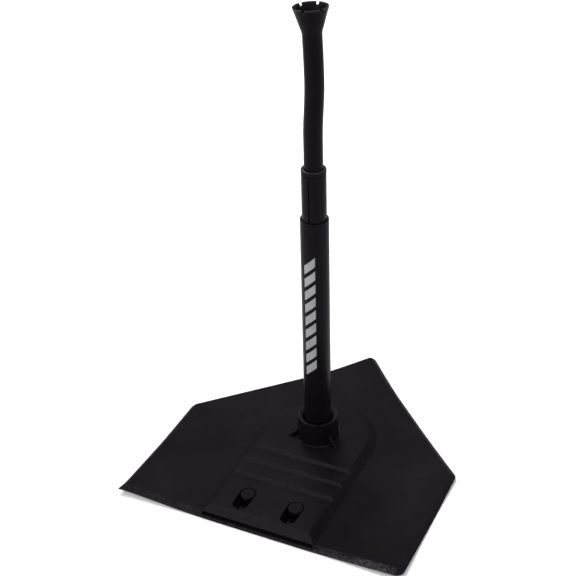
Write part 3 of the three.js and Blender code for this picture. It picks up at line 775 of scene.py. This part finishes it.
def home_plate():
    """The bevelled slab with its channel and screw holes, made flat and then curled at its corners."""
    edge = filleted(
        (
            (1.2 * MM, 0, 0),
            (0, 0, 0.25 * MM),
            (0, PLATE_LIP, 0.3 * MM),
            (PLATE_BEVEL, PLATE_TOP, 1.2 * MM),
            (PLATE_BEVEL + PLATE_TOP_MARGIN, PLATE_TOP, 0),
        ),
        steps=3,
    )
    verts = []
    rings = []

    def ring(points, height):
        rings.append(range(len(verts), len(verts) + len(points)))
        verts.extend((x, y, height) for x, y in points)

    def shrunk(share, height):
        outline = plate_outline(PLATE_BEVEL + PLATE_TOP_MARGIN)
        ring([(x * share, y * share) for x, y in outline], height)

    for step in range(1, PLATE_MESH_RINGS):
        shrunk(step / PLATE_MESH_RINGS, 0)
    for inset, height in edge:
        ring(plate_outline(inset), height)
    for step in range(PLATE_MESH_RINGS - 1, 0, -1):
        shrunk(step / PLATE_MESH_RINGS, PLATE_TOP)
    faces = []
    for low, high in zip(rings, rings[1:]):
        count = len(low)
        for k in range(count):
            j = (k + 1) % count
            faces.append([low[k], low[j], high[j], high[k]])
    count = len(rings[0])
    faces.append(list(rings[0])[::-1])
    faces.append(list(rings[-1]))
    plate = new_object("rubber_home_plate", verts, faces, PLATE_RUBBER)

    outline = arch_outline(CHANNEL_HALF_WIDTH, FRONT_Y - CHANNEL_RUNOUT)
    channel = prism("channel", outline, CHANNEL_FLOOR, 3 * PLATE_TOP)
    for side in (-1, 1):
        boss = circle_outline(side * PEG_X, PEG_Y, BOSS_RADIUS)
        cut(channel, prism("boss", boss, 0, 4 * PLATE_TOP))
    cut(plate, channel)
    for side in (-1, 1):
        recess = circle_outline(side * PEG_X, PEG_Y, SCREW_RECESS_RADIUS)
        cut(plate, prism("recess", recess, -PLATE_TOP, SCREW_RECESS_DEPTH))
        hole = circle_outline(side * PEG_X, PEG_Y, SCREW_HOLE_RADIUS, 24)
        cut(plate, prism("hole", hole, -PLATE_TOP, 4 * PLATE_TOP))
    wear = plate.data.attributes.new("wear", "FLOAT", "POINT")
    for i, vertex in enumerate(plate.data.vertices):
        wear.data[i].value = plate_wear(*vertex.co)
        vertex.co.z += plate_curl(vertex.co.x, vertex.co.y)
        pull = corner_tip(vertex.co.x, vertex.co.y)
        vertex.co.x += pull.x
        vertex.co.y += pull.y
    steady(plate)
    return plate


plate = home_plate()
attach(plate, "plate")
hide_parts("home_plate")


# ---------- socket cover ----------
def socket_cover():
    """A low panel with bevelled sides: three ribs with ramps in front of them, two slots and a round hole."""
    foot = arch_outline(COVER_FOOT_HALF_WIDTH, COVER_LOW.y, 72)
    top = arch_outline(COVER_FOOT_HALF_WIDTH - COVER_BEVEL, COVER_LOW.y + COVER_BEVEL, 72)
    count = len(foot)
    levels = ((foot, COVER_LOW.z), (foot, COVER_LOW.z + COVER_LIP), (top, COVER_TOP))
    verts = [(x, y, z) for outline, z in levels for x, y in outline]
    faces = [list(range(count))[::-1], list(range(2 * count, 3 * count))]
    for level in (0, count):
        for k in range(count):
            j = (k + 1) % count
            faces.append([level + k, level + j, level + count + j, level + count + k])
    cover = new_object("ribbed_cover", verts, faces, COVER_RUBBER)
    for i in range(RIB_COUNT):
        crest = RIB_FRONT_Y + i * RIB_PITCH + RIB_FACE_RUN / 2
        ramp_end = crest - RIB_FACE_RUN
        ramp_start = ramp_end - (RIB_RAMP_RUN if i else FIRST_RAMP_RUN)
        section = (
            (ramp_start, COVER_TOP),
            (ramp_end, COVER_TOP - RIB_DROP),
            (crest, COVER_TOP),
            (crest, 2 * COVER_TOP),
            (ramp_start, 2 * COVER_TOP),
        )
        cut(cover, bar_along_x("groove", section, RIB_HALF_LENGTH))
    for side in (-1, 1):
        slot = slot_outline(side * PEG_X, COVER_SLOT_RADIUS)
        cut(cover, prism("slot", slot, 0, 2 * COVER_TOP))
    relief = (
        (COVER_LOW.y - RELIEF_RUNOUT, 0),
        (COVER_LOW.y + RELIEF_END, 0),
        (COVER_LOW.y + RELIEF_END, COVER_LOW.z),
        (COVER_LOW.y + RELIEF_FLAT, COVER_LOW.z + RELIEF_HEIGHT),
        (COVER_LOW.y - RELIEF_RUNOUT, COVER_LOW.z + RELIEF_HEIGHT),
    )
    cut(cover, bar_along_x("relief", relief, CHANNEL_HALF_WIDTH - RELIEF_SIDE_GAP))
    lip = circle_outline(MAST_X, MAST_Y, HOLE_RADIUS + HOLE_LIP_WIDTH, 72)
    combine(cover, prism("lip", lip, COVER_LOW.z + 2 * MM, COVER_TOP + HOLE_LIP_HEIGHT), "UNION")
    hole = circle_outline(MAST_X, MAST_Y, HOLE_RADIUS, 72)
    cut(cover, prism("collar_hole", hole, 0, 2 * COVER_TOP))
    for angle in GUSSET_ANGLES:
        reach = GUSSET_REACH + GUSSET_HOLE_GAP
        half_width = GUSSET_THICKNESS / 2 + GUSSET_HOLE_GAP
        cut(cover, radial_block("notch", angle, reach, half_width, 2 * COVER_TOP))
    soften(cover, COVER_EDGE)
    steady(cover)
    return cover


cover = socket_cover()
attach(cover, "socket")
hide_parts("socket_cover")


# ---------- guide pegs ----------
def guide_peg(name, side):
    """A round head, dished on top, with a short raised mark."""
    low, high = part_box(name)
    outline = filleted(
        (
            (0, low.z, 0),
            (PEG_RADIUS, low.z, 0.3 * MM),
            (PEG_RADIUS, high.z, PEG_EDGE),
            (PEG_RADIUS - PEG_RIM_WIDTH, high.z, 0.3 * MM),
            (PEG_DISH_RADIUS, high.z - PEG_DISH_DEPTH, 0.2 * MM),
            (0, high.z - PEG_DISH_DEPTH, 0),
        )
    )
    peg = turned(name + "_head", outline, PEG_RUBBER, 64, (side * PEG_X, PEG_Y), closed=False)
    corners = []
    for across, along in ((-1, -1), (1, -1), (1, 1), (-1, 1)):
        x = across * PEG_MARK_HALF_LENGTH
        y = along * PEG_MARK_HALF_WIDTH
        corners.append((x, y, PEG_MARK_ROUNDING))
    turn = Matrix.Rotation(PEG_MARK_TURN, 2)
    places = [turn @ Vector(p) + Vector((side * PEG_X, PEG_Y)) for p in filleted(corners)]
    mark = prism("mark", [tuple(p) for p in places], high.z - 0.8 * MM, high.z + 0.15 * MM)
    combine(peg, mark, "UNION")
    shade(peg)
    return peg


for side_name, side in (("left", -1), ("right", 1)):
    node = "guide_peg_" + side_name
    peg = guide_peg(node, side)
    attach(peg, "plate")
    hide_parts(node)


# ---------- socket carrier ----------
def socket_carrier():
    """The collar with its socket, the flange under the cover, the gussets and the nick in the rim."""
    collar = turned(
        "collar_socket",
        filleted(
            (
                (0, CARRIER_LOW.z, 0),
                (COLLAR_FOOT_RADIUS, CARRIER_LOW.z, 0),
                (COLLAR_FOOT_RADIUS, COVER_TOP, COLLAR_FOOT_ROUNDING),
                (COLLAR_TOP_RADIUS, CARRIER_HIGH.z, 0.55 * MM),
                (MOUTH_RIM_RADIUS, CARRIER_HIGH.z, 0.4 * MM),
                (MOUTH_THROAT_RADIUS, CARRIER_HIGH.z - MOUTH_CONE_DEPTH, 1.2 * MM),
                (SOCKET_RADIUS, CARRIER_HIGH.z - MOUTH_DEPTH, 2 * MM),
                (SOCKET_RADIUS, SOCKET_FLOOR, 0),
                (0, SOCKET_FLOOR, 0),
            )
        ),
        SOCKET_PLASTIC,
        closed=False,
    )
    outline = [
        (-CARRIER_HALF_WIDTH, CARRIER_LOW.y),
        (CARRIER_HALF_WIDTH, CARRIER_LOW.y),
        (CARRIER_HALF_WIDTH, CARRIER_SHOULDER_Y),
    ]
    outline += arc((MAST_X, MAST_Y), CARRIER_ARCH_RADIUS, 0, 180, 48)
    outline += [(-CARRIER_HALF_WIDTH, CARRIER_SHOULDER_Y)]
    flange = prism("flange", outline, CARRIER_LOW.z, CARRIER_PLATE_TOP)
    bore = circle_outline(MAST_X, MAST_Y, COLLAR_FOOT_RADIUS - GUSSET_ROOT)
    cut(flange, prism("bore", bore, 0, 2 * COVER_TOP))
    for side in (-1, 1):
        slot = slot_outline(side * PEG_X, CARRIER_SLOT_RADIUS)
        cut(flange, prism("slot", slot, 0, 2 * COVER_TOP))
    combine(collar, flange, "UNION")
    for angle in GUSSET_ANGLES:
        combine(collar, gusset(angle), "UNION")
    height = CARRIER_HIGH.z
    nick = radial_block("nick", RIM_NICK_ANGLE, COLLAR_FOOT_RADIUS, RIM_NICK_HALF_WIDTH, height)
    nick.location.z = 2 * height - RIM_NICK_DEPTH
    cut(collar, nick)
    soften(collar, COLLAR_EDGE, steps=2, angle=35)
    steady(collar)
    return collar


def gusset(degrees):
    """A web from the flange up the collar."""
    inner = COLLAR_TOP_RADIUS - GUSSET_ROOT
    section = (
        (inner, GUSSET_FOOT),
        (GUSSET_REACH, GUSSET_FOOT),
        (GUSSET_REACH, COVER_TOP),
        (COLLAR_TOP_RADIUS + 0.6 * MM, GUSSET_HEIGHT),
        (inner, GUSSET_HEIGHT),
    )
    web = bar_along_x("gusset", section, GUSSET_THICKNESS / 2)
    turn = Matrix.Rotation(math.radians(degrees - 90), 4, "Z")
    web.data.transform(Matrix.Translation((MAST_X, MAST_Y, 0)) @ turn)
    return web


carrier = socket_carrier()
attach(carrier, "socket")
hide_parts("socket_carrier")


# ---------- tubes ----------
def lower_tube():
    """A plain tube with rounded ends."""
    return turned(
        "mast_tube",
        filleted(
            (
                (TUBE_BORE, TUBE_LOW.z, 0.3 * MM),
                (TUBE_RADIUS, TUBE_LOW.z, 0.3 * MM),
                (TUBE_RADIUS, TUBE_HIGH.z, 0.9 * MM),
                (TUBE_BORE, TUBE_HIGH.z, 0.6 * MM),
            )
        ),
        TUBE_PLASTIC,
        128,
    )


def tube_mark():
    """Slanted bars painted up the front of the tube: a plain pattern that spells nothing."""
    height = (MARK_HIGH - MARK_LOW - (MARK_BARS - 1) * MARK_GAP) / MARK_BARS
    verts = []
    faces = []
    for bar in range(MARK_BARS):
        base = MARK_LOW + bar * (height + MARK_GAP)
        first = len(verts)
        for column in range(MARK_COLUMNS + 1):
            share = column / MARK_COLUMNS
            angle = MARK_HEADING + (2 * share - 1) * MARK_HALF_WIDTH / TUBE_RADIUS
            lift = base + MARK_SLANT * (share - 0.5)
            for radius in (TUBE_RADIUS + MARK_PROUD, TUBE_RADIUS - MARK_ROOT):
                for z in (lift, lift + height):
                    x = MAST_X + radius * math.cos(angle)
                    y = MAST_Y + radius * math.sin(angle)
                    verts.append((x, y, z))
        for column in range(MARK_COLUMNS):
            a = first + 4 * column
            b = a + 4
            faces += [[a, b, b + 1, a + 1], [a + 2, a + 3, b + 3, b + 2]]
            faces += [[a, a + 2, b + 2, b], [a + 1, b + 1, b + 3, a + 3]]
        last = first + 4 * MARK_COLUMNS
        faces += [[first, first + 1, first + 3, first + 2], [last, last + 2, last + 3, last + 1]]
    return new_object("tube_stripes", verts, faces, SILVER_PAINT)


tube = lower_tube()
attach(tube, "tube")
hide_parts("lower_tube")

stripes = tube_mark()
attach(stripes, "tube")


def upper_sleeve():
    """A thin tube, slit along its front."""
    sleeve = turned(
        "split_sleeve",
        filleted(
            (
                (SLEEVE_BORE, SLEEVE_LOW.z, 0.2 * MM),
                (SLEEVE_RADIUS, SLEEVE_LOW.z, 0.4 * MM),
                (SLEEVE_RADIUS, SLEEVE_HIGH.z, 0.4 * MM),
                (SLEEVE_BORE, SLEEVE_HIGH.z, 0.2 * MM),
            )
        ),
        SLEEVE_PLASTIC,
        128,
    )
    half = SLIT_WIDTH / 2
    front_y = MAST_Y - SLIT_REACH
    slit = [(-half, front_y), (half, front_y), (half, MAST_Y), (-half, MAST_Y)]
    cut(sleeve, prism("slit", slit, 0, 2 * SLEEVE_HIGH.z))
    shade(sleeve)
    return sleeve


def sleeve_cap():
    """A ring on the sleeve's end, grooved round its middle and its foot, with a skirt in the sleeve."""
    base = CAP_HIGH.z - CAP_HEIGHT
    return turned(
        "sleeve_end_ring",
        filleted(
            (
                (CAP_BORE, CAP_LOW.z, 0.2 * MM),
                (CAP_SKIRT_RADIUS, CAP_LOW.z, 0.3 * MM),
                (CAP_SKIRT_RADIUS, base, 0),
                (CAP_BASE_GROOVE_RADIUS, base, 0.1 * MM),
                (CAP_BASE_GROOVE_RADIUS, base + 0.6 * MM, 0.1 * MM),
                (CAP_RADIUS, base + 0.9 * MM, 0.3 * MM),
                (CAP_RADIUS, base + 2.7 * MM, 0.3 * MM),
                (CAP_GROOVE_RADIUS, base + 3 * MM, 0.1 * MM),
                (CAP_GROOVE_RADIUS, base + 4 * MM, 0.1 * MM),
                (CAP_RADIUS, base + 4.3 * MM, 0.3 * MM),
                (CAP_RADIUS, CAP_HIGH.z - 1.1 * MM, 0.6 * MM),
                (CAP_BORE + 0.8 * MM, CAP_HIGH.z, 0.4 * MM),
                (CAP_BORE, CAP_HIGH.z, 0.2 * MM),
            )
        ),
        SLEEVE_PLASTIC,
        128,
    )


sleeve = upper_sleeve()
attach(sleeve, "sleeve")
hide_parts("upper_sleeve")

cap = sleeve_cap()
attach(cap, "sleeve")
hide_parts("sleeve_cap")


# ---------- rubber stem with the ball cup ----------
def stem_place(x, y, z):
    """Carries a point of the upright stem onto its slightly leaning and bent centreline.

    x and y are from the mast's axis. The bend is an arc of BEND_LENGTH, straight beyond it.
    """
    along = z - FLEX_PIVOT.z - BEND_START
    lean = LEAN * smoothstep(LEAN_LOW, LEAN_HIGH, z)
    shift = Vector((math.cos(LEAN_HEADING), math.sin(LEAN_HEADING))) * lean
    point = Vector((x, y))
    height = z
    if along > 0:
        radius = BEND_LENGTH / BEND_ANGLE
        ahead = Vector((math.cos(BEND_HEADING), math.sin(BEND_HEADING)))
        angle = min(along / radius, BEND_ANGLE)
        beyond = max(along - BEND_LENGTH, 0)
        forward = point.dot(ahead)
        sideways = point - ahead * forward
        reach = radius - (radius - forward) * math.cos(angle) + beyond * math.sin(angle)
        rise = (radius - forward) * math.sin(angle) + beyond * math.cos(angle)
        point = sideways + ahead * reach
        height = FLEX_PIVOT.z + BEND_START + rise
    return (MAST_X + point.x + shift.x, MAST_Y + point.y + shift.y, height)


def cup_radius(below):
    """The cup's outer radius at a distance below its rim."""
    for (low, wide), (high, wider) in zip(CUP_PROFILE, CUP_PROFILE[1:]):
        if low * MM >= below >= high * MM:
            share = (low * MM - below) / ((low - high) * MM)
            return (wide + (wider - wide) * share) * MM
    return CUP_PROFILE[-1][1] * MM if below < CUP_PROFILE[-1][0] * MM else STEM_RADIUS


def cup_wear_and_light(x, y, z, rim):
    """How much the cup is lightened: all of its rim, by rubbing and a painted highlight, and its inside, by
    painted light, most of all at the rear.
    """
    below = rim - z
    if below > (CUP_SEAT_DEPTH + CUP_SEAT_MARGIN) * MM:
        return 0
    if below < CUP_RIM_BAND_DEPTH:
        return 1
    if math.hypot(x - MAST_X, y - MAST_Y) > cup_radius(below) - CUP_SKIN:
        return 0
    heading = math.atan2(y - MAST_Y, x - MAST_X) - CUP_PAINTED_LIGHT_HEADING
    return CUP_INSIDE_PAINTED_LIGHT + (CUP_REAR_PAINTED_LIGHT - CUP_INSIDE_PAINTED_LIGHT) * max(0, math.cos(heading)) ** 6


def rubber_stem():
    """The hollow stem and its cup in one piece, made upright and then carried onto the bend."""
    rim = FLEX_PIVOT.z + TIP_LENGTH
    outline = []
    straight_top = rim - CUP_PROFILE[0][0] * MM
    outline.append((STEM_BORE, STEM_LOW.z))
    outline.append((STEM_RADIUS - STEM_FOOT_EDGE, STEM_LOW.z))
    for row in range(STEM_MESH_ROWS):
        share = row / STEM_MESH_ROWS
        z = STEM_LOW.z + STEM_FOOT_EDGE + (straight_top - STEM_LOW.z) * share
        outline.append((STEM_RADIUS, z))
    for below, radius in CUP_PROFILE:
        outline.append((radius * MM, rim - below * MM))
    outline.append((CUP_LIP_RADIUS, rim - 0.5 * MM))
    outline.append((CUP_LIP_RADIUS - 0.4 * MM, rim))
    outline.append((CUP_LIP_RADIUS - 0.65 * CUP_WALL, rim - 0.1 * MM))
    outline.append((CUP_LIP_RADIUS - 1.15 * CUP_WALL, rim - 1.7 * MM))
    for below, radius in reversed(CUP_PROFILE):
        if CUP_SEAT_MARGIN < below < CUP_SEAT_DEPTH - CUP_SEAT_MARGIN:
            outline.append((radius * MM - 1.1 * CUP_WALL, rim - below * MM))
    outline.append((STEM_BORE, rim - CUP_SEAT_DEPTH * MM))
    bore_length = straight_top - BORE_ROWS_DROP - STEM_LOW.z
    for row in range(STEM_MESH_ROWS, 0, -1):
        share = row / (STEM_MESH_ROWS + 1)
        outline.append((STEM_BORE, STEM_LOW.z + bore_length * share))
    stem = turned("rubber_stem_and_cup", outline, STEM_RUBBER, 144)
    for i in range(PETAL_COUNT):
        heading = PETAL_FIRST_NOTCH + i * 360 / PETAL_COUNT
        notch = radial_block("notch", heading, 2 * STEM_RADIUS, NOTCH_WIDTH / 2, 2 * NOTCH_DEPTH)
        notch.location.z = rim + NOTCH_DEPTH
        cut(stem, notch)
    soften(stem, 0.35 * MM, steps=2, angle=48)
    # The wear attribute here carries the cup's lightening: rubbing and a painted highlight on its rim,
    # painted light inside it.
    wear = stem.data.attributes.new("wear", "FLOAT", "POINT")
    for i, vertex in enumerate(stem.data.vertices):
        x, y, z = vertex.co
        wear.data[i].value = cup_wear_and_light(x, y, z, rim)
        vertex.co = stem_place(x - MAST_X, y - MAST_Y, z)
    steady(stem, 50)
    return stem


stem = rubber_stem()
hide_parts("rubber_stem", "stem_tip")
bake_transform(stem)

# ---------- pieces that keep their CAD shape ----------
for name, node in frame["nodes"].items():
    if "screw" in name or "washer" in name:
        node.data.materials.clear()
        node.data.materials.append(ZINC_STEEL)
    elif name in ("tube_foot_plug", "stem_stop_plug"):
        node.data.materials.clear()
        node.data.materials.append(SOCKET_PLASTIC)

# ---------- studio ----------
FLOOR_HALF_SIZE = 30
FLOOR_GAP = 0.2 * MM
WORLD_STRENGTH = 0.6
floor_corners = [
    (-FLOOR_HALF_SIZE, -FLOOR_HALF_SIZE, 0),
    (FLOOR_HALF_SIZE, -FLOOR_HALF_SIZE, 0),
    (FLOOR_HALF_SIZE, FLOOR_HALF_SIZE, 0),
    (-FLOOR_HALF_SIZE, FLOOR_HALF_SIZE, 0),
]
floor = new_object("studio_floor", floor_corners, [[0, 1, 2, 3]], floor_paint())
floor.location.z = -FLOOR_GAP

world = bpy.data.worlds.new("studio")
bpy.context.scene.world = world
world.use_nodes = True
background = world.node_tree.nodes["Background"]
background.inputs["Color"].default_value = (1, 1, 1, 1)
background.inputs["Strength"].default_value = WORLD_STRENGTH


def softbox(name, position, target, size, power):
    """A rectangular light of that size in metres and that power in watts, turned to its target."""
    light = bpy.data.lights.new(name, "AREA")
    light.shape = "RECTANGLE"
    light.size, light.size_y = size
    light.energy = power
    obj = bpy.data.objects.new(name, light)
    bpy.context.scene.collection.objects.link(obj)
    obj.location = position
    obj.rotation_euler = (Vector(target) - Vector(position)).to_track_quat("-Z", "Y").to_euler()


# name, place, what it is turned to, size, power
softbox("key", (-1.1, 1.45, 2.4), (0, 0, 0.1), (1.0, 1.0), 72)
softbox("front_fill", (-1.6, -2.4, 1.7), (0, 0, 0.2), (2.6, 2.0), 67)
softbox("right_strip", (2.3, 0.5, 1.2), (0, 0, 0.4), (1.7, 1.8), 25)

# ---------- camera ----------
AZIMUTH = math.radians(26.05)
ELEVATION = math.radians(33.3)
DISTANCE = 1.8307
TARGET = Vector((-0.0203, -0.0460, 0.300))
ROLL = math.radians(-1.752)
LENS_MM = 84.21
SENSOR_WIDTH_MM = 36

camera_data = bpy.data.cameras.new("camera")
camera_data.lens = LENS_MM
camera_data.sensor_width = SENSOR_WIDTH_MM
camera = bpy.data.objects.new("camera", camera_data)
bpy.context.scene.collection.objects.link(camera)
back = Vector(
    (
        math.sin(AZIMUTH) * math.cos(ELEVATION),
        -math.cos(AZIMUTH) * math.cos(ELEVATION),
        math.sin(ELEVATION),
    )
)
camera.location = TARGET + back * DISTANCE
facing = back.to_track_quat("Z", "Y").to_matrix()
camera.rotation_euler = (facing @ Matrix.Rotation(ROLL, 3, "Z")).to_euler()
bpy.context.scene.camera = camera
bpy.context.scene.view_settings.view_transform = "Standard"
